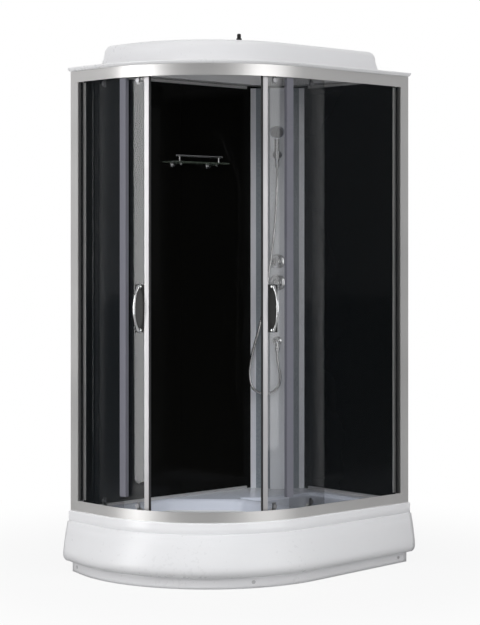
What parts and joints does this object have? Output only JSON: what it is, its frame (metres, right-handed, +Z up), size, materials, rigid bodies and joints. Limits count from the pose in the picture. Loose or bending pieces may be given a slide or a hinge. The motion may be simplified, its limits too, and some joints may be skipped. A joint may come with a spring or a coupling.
{
  "type": "steam shower cabin",
  "caption": "Offset-quadrant shower cabin with a low bowed tray, curved sliding glass doors, black walls, a corner column with hand shower and a domed roof.",
  "frame": {"origin": "on the floor, under the middle of the frame's length and depth", "axes": "+X along the long back wall to the short wall, +Y to the long back wall, +Z up; the rounded doorway corner is at -X, -Y"},
  "size_m": [1.2619, 0.8698, 2.192],
  "materials": {
    "white_acrylic": "glossy white acrylic",
    "cap_plastic": "glossy",
    "frame_steel": "galvanised",
    "trap_plastic": "matte",
    "chrome": "polished",
    "black_glass": "opaque black, glossy",
    "satin_aluminium": "satin anodised",
    "grey_panel": "satin grey",
    "light_panel": "satin light grey",
    "tinted_glass": "clear, lightly tinted",
    "door_glass": "smoked blue-grey",
    "black_rubber": "matte",
    "seal_plastic": "satin",
    "black_plastic": "matte",
    "shelf_glass": "dark tinted",
    "brass": "plain",
    "hose_metal": "spiral-wound",
    "chrome_plastic": "polished",
    "grey_plastic": "matte",
    "roller_plastic": "smooth white"
  },
  "bodies": {
    "cabin": {"tray_basin": "white_acrylic", "front_apron": "white_acrylic", "apron_screws": "cap_plastic", "tray_frame": "frame_steel", "levelling_feet": "frame_steel", "waste_trap": "trap_plastic", "drain_cover": "chrome", "long_wall_left": "black_glass", "long_wall_right": "black_glass", "short_wall": "black_glass", "wall_top_trims": "satin_aluminium", "wall_base_trims": "satin_aluminium", "corner_column": "grey_panel", "column_cover": "light_panel", "column_trims": "satin_aluminium", "left_post": "satin_aluminium", "right_post": "satin_aluminium", "top_rail": "satin_aluminium", "bottom_rail": "satin_aluminium", "left_fixed_glass": "tinted_glass", "right_fixed_glass": "tinted_glass", "glass_gaskets": "black_rubber", "fixed_glass_seals": "seal_plastic", "roof_shell": "white_acrylic", "roof_gland": "black_plastic", "shelf_glass": "shelf_glass", "shelf_brackets": "chrome", "shelf_rail": "chrome", "diverter_plate": "chrome", "mixer_plate": "chrome", "mixer_body": "brass", "water_inlets": "brass", "hose_outlet": "chrome", "shower_hose": "hose_metal", "hose_nuts": "chrome", "handset": "chrome_plastic", "spray_face": "grey_plastic", "handset_holder": "chrome_plastic"},
    "diverter": {"diverter_knob": "chrome"},
    "mixer": {"mixer_knob": "chrome"},
    "left_door": {"left_door_glass": "door_glass", "left_door_edge": "satin_aluminium", "left_door_magnet": "black_rubber", "left_handle_plate": "black_plastic", "left_handle": "chrome", "left_door_hangers": "chrome"},
    "left_front_low_roller": {"left_front_low_wheel": "roller_plastic"},
    "left_front_high_roller": {"left_front_high_wheel": "roller_plastic"},
    "left_rear_low_roller": {"left_rear_low_wheel": "roller_plastic"},
    "left_rear_high_roller": {"left_rear_high_wheel": "roller_plastic"},
    "right_door": {"right_door_glass": "door_glass", "right_door_edge": "satin_aluminium", "right_door_magnet": "black_rubber", "right_handle_plate": "black_plastic", "right_handle": "chrome", "right_door_hangers": "chrome"},
    "right_front_low_roller": {"right_front_low_wheel": "roller_plastic"},
    "right_front_high_roller": {"right_front_high_wheel": "roller_plastic"},
    "right_rear_low_roller": {"right_rear_low_wheel": "roller_plastic"},
    "right_rear_high_roller": {"right_rear_high_wheel": "roller_plastic"}
  },
  "joints": [
    {"name": "left_door_slide_round", "type": "hinge", "parent": "cabin", "child": "left_door", "pos_m": [-0.035, 0.161, 1.15], "axis": [0, 0, 1], "range_deg": [-1.2, 24.5]},
    {"name": "left_front_low_roll", "type": "hinge", "parent": "left_door", "child": "left_front_low_roller", "pos_m": [-0.53005, 0.0265, 0.2863], "axis": [0.965, 0.2622, 0], "range_deg": [-56.6, 1136.9]},
    {"name": "left_front_high_roll", "type": "hinge", "parent": "left_door", "child": "left_front_high_roller", "pos_m": [-0.53005, 0.0265, 2.0443], "axis": [0.965, 0.2622, 0], "range_deg": [-56.6, 1136.9]},
    {"name": "left_rear_low_roll", "type": "hinge", "parent": "left_door", "child": "left_rear_low_roller", "pos_m": [-0.5447, 0.21907, 0.2863], "axis": [0.9936, -0.1132, 0], "range_deg": [-56.6, 1136.9]},
    {"name": "left_rear_high_roll", "type": "hinge", "parent": "left_door", "child": "left_rear_high_roller", "pos_m": [-0.5447, 0.21907, 2.0443], "axis": [0.9936, -0.1132, 0], "range_deg": [-56.6, 1136.9]},
    {"name": "right_door_slide_round", "type": "hinge", "parent": "cabin", "child": "right_door", "pos_m": [-0.035, 0.161, 1.15], "axis": [0, 0, -1], "range_deg": [-1.2, 24.5]},
    {"name": "right_front_low_roll", "type": "hinge", "parent": "right_door", "child": "right_front_low_roller", "pos_m": [-0.14865, -0.33925, 0.2863], "axis": [0.2215, 0.9751, 0], "range_deg": [-1136.9, 56.6]},
    {"name": "right_front_high_roll", "type": "hinge", "parent": "right_door", "child": "right_front_high_roller", "pos_m": [-0.14865, -0.33925, 2.0443], "axis": [0.2215, 0.9751, 0], "range_deg": [-1136.9, 56.6]},
    {"name": "right_rear_low_roll", "type": "hinge", "parent": "right_door", "child": "right_rear_low_roller", "pos_m": [0.04437, -0.34582, 0.2863], "axis": [-0.1547, 0.988, 0], "range_deg": [-1136.9, 56.6]},
    {"name": "right_rear_high_roll", "type": "hinge", "parent": "right_door", "child": "right_rear_high_roller", "pos_m": [0.04437, -0.34582, 2.0443], "axis": [-0.1547, 0.988, 0], "range_deg": [-1136.9, 56.6]},
    {"name": "diverter_turn", "type": "hinge", "parent": "cabin", "child": "diverter", "pos_m": [0.4549, 0.2589, 1.271], "axis": [-0.7071, -0.7071, 0], "range_deg": [-60, 60]},
    {"name": "mixer_turn", "type": "hinge", "parent": "cabin", "child": "mixer", "pos_m": [0.4549, 0.2589, 1.177], "axis": [-0.7071, -0.7071, 0], "range_deg": [0, 180]}
  ],
  "couplings": [
    {"joint": "left_front_low_roll", "follows": "left_door_slide_round", "ratio": 46.364},
    {"joint": "left_front_high_roll", "follows": "left_door_slide_round", "ratio": 46.364},
    {"joint": "left_rear_low_roll", "follows": "left_door_slide_round", "ratio": 46.364},
    {"joint": "left_rear_high_roll", "follows": "left_door_slide_round", "ratio": 46.364},
    {"joint": "right_front_low_roll", "follows": "right_door_slide_round", "ratio": -46.364},
    {"joint": "right_front_high_roll", "follows": "right_door_slide_round", "ratio": -46.364},
    {"joint": "right_rear_low_roll", "follows": "right_door_slide_round", "ratio": -46.364},
    {"joint": "right_rear_high_roll", "follows": "right_door_slide_round", "ratio": -46.364}
  ]
}
